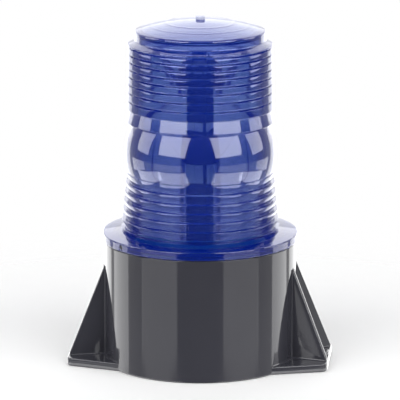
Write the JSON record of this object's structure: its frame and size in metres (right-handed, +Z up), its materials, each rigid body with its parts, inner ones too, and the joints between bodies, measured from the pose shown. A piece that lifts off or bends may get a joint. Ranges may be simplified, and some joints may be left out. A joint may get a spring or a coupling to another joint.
{
  "type": "led beacon",
  "caption": "Blue LED beacon with a ribbed twist-off lens on a grey cup base with two gusseted bolt-down ears and a cable entry in its floor.",
  "frame": {"origin": "middle of the mounting face, at the foot of the beacon", "axes": "+Z up along the lens axis, X along the line through the two ear holes"},
  "size_m": [0.1072, 0.08, 0.1438],
  "materials": {
    "base_grey": "dark grey moulded plastic, glossy",
    "lens_blue": "blue transparent polycarbonate, polished",
    "seal_rubber": "black rubber",
    "board_green": "green solder mask",
    "led_board_mask": "dark solder mask",
    "led_emitter": "white package with a clear window",
    "black_moulding": "black moulded plastic",
    "core_aluminium": "extruded bar",
    "screw_steel": "zinc plated",
    "insert_brass": "knurled insert",
    "clear_tube": "clear tube",
    "capacitor_sleeve": "printed-free sleeve",
    "ferrite": "ferrite drum",
    "winding_copper": "enamelled copper wire",
    "chip_black": "moulded package",
    "varistor_blue": "dipped coating",
    "resistor_body": "lacquered body",
    "terminal_green": "moulded terminal block"
  },
  "bodies": {
    "base": {"ballast_resistors": "resistor_body", "base_housing": "base_grey", "board_inserts": "insert_brass", "board_screws": "screw_steel", "bridge_rectifier": "chip_black", "cable_grommet": "seal_rubber", "cap_screw": "screw_steel", "choke_winding": "winding_copper", "driver_board": "board_green", "driver_chip": "chip_black", "filter_choke": "ferrite", "led_board_lower_back": "led_board_mask", "led_board_lower_front": "led_board_mask", "led_board_lower_left": "led_board_mask", "led_board_lower_right": "led_board_mask", "led_board_upper_back": "led_board_mask", "led_board_upper_front": "led_board_mask", "led_board_upper_left": "led_board_mask", "led_board_upper_right": "led_board_mask", "led_emitters_lower_back": "led_emitter", "led_emitters_lower_front": "led_emitter", "led_emitters_lower_left": "led_emitter", "led_emitters_lower_right": "led_emitter", "led_emitters_upper_back": "led_emitter", "led_emitters_upper_front": "led_emitter", "led_emitters_upper_left": "led_emitter", "led_emitters_upper_right": "led_emitter", "lens_seal": "seal_rubber", "smoothing_capacitor": "capacitor_sleeve", "surge_varistor": "varistor_blue", "terminal_block": "terminal_green", "terminal_screws": "screw_steel", "tower_cap": "black_moulding", "tower_collar": "black_moulding", "tower_core": "core_aluminium", "tower_nut": "screw_steel", "tower_plinth": "black_moulding", "tower_sleeve": "clear_tube", "tower_washer": "screw_steel"},
    "lens_cap": {"lens": "lens_blue"}
  },
  "joints": [
    {"name": "lens_twist", "type": "hinge", "parent": "base", "child": "lens_cap", "pos_m": [0, 0, 0.0509], "axis": [0, 0, 1], "range_deg": [0, 25]}
  ]
}
